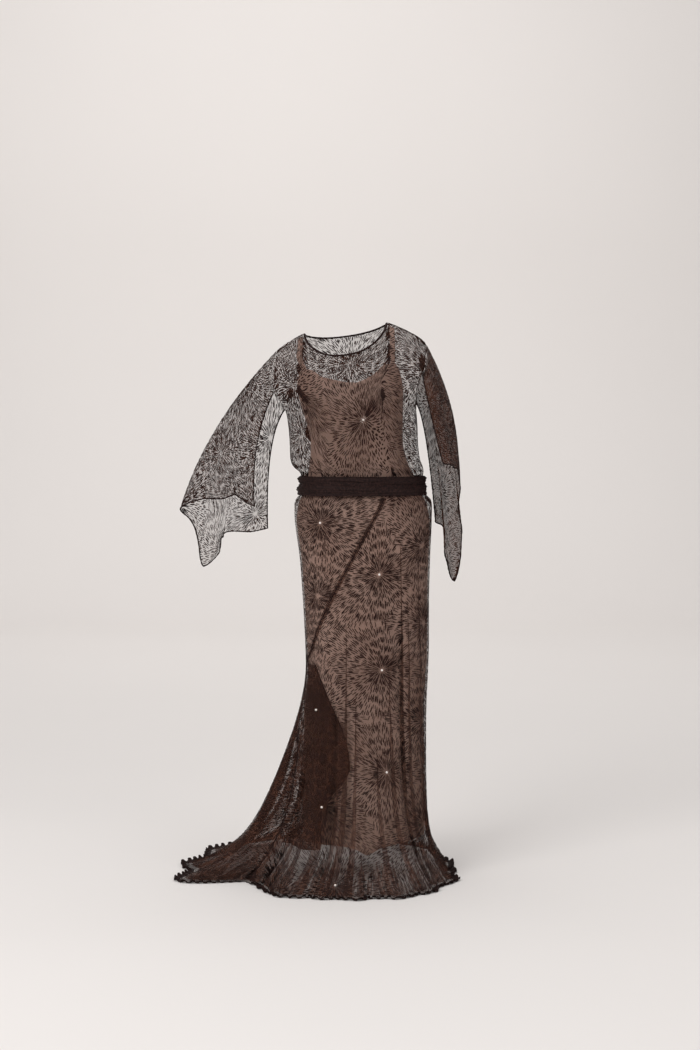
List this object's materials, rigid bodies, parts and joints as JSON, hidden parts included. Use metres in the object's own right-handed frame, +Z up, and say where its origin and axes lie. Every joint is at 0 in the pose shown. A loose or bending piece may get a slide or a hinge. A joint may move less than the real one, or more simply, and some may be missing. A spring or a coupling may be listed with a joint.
{
  "type": "evening gown",
  "caption": "Sheer starburst evening gown in its worn form, with wing sleeves, wound belt, bias skirt, gathered train, frilled hem and an opaque slip inside.",
  "frame": {"origin": "midway between the two points where the neckline meets the shoulder seams, where the wearer's shoulders hold the gown", "axes": "+Z up, -Y towards the front, +X towards the wearer's left, which is the viewer's right"},
  "size_m": [0.7376, 0.73, 1.4335],
  "materials": {
    "net": "sheer dark brown silk net with a raised radiating dash pattern",
    "edging": "rolled net edge, matte",
    "belt": "several layers of net wound in soft folds",
    "slip": "taupe silk, soft sheen",
    "pearl": "small pearl beads"
  },
  "bodies": {
    "root": {"bodice_front": "net", "bodice_back": "net", "neck_binding": "edging", "sleeve_right": "net", "sleeve_left": "net", "belt": "belt", "hip_yoke": "net", "skirt_front": "net", "skirt_back": "net", "train_godet": "net", "underlap_panel": "net", "hem_frill": "edging", "slip_front": "slip", "slip_back": "slip", "slip_strap_right": "slip", "slip_strap_left": "slip"}
  },
  "joints": []
}
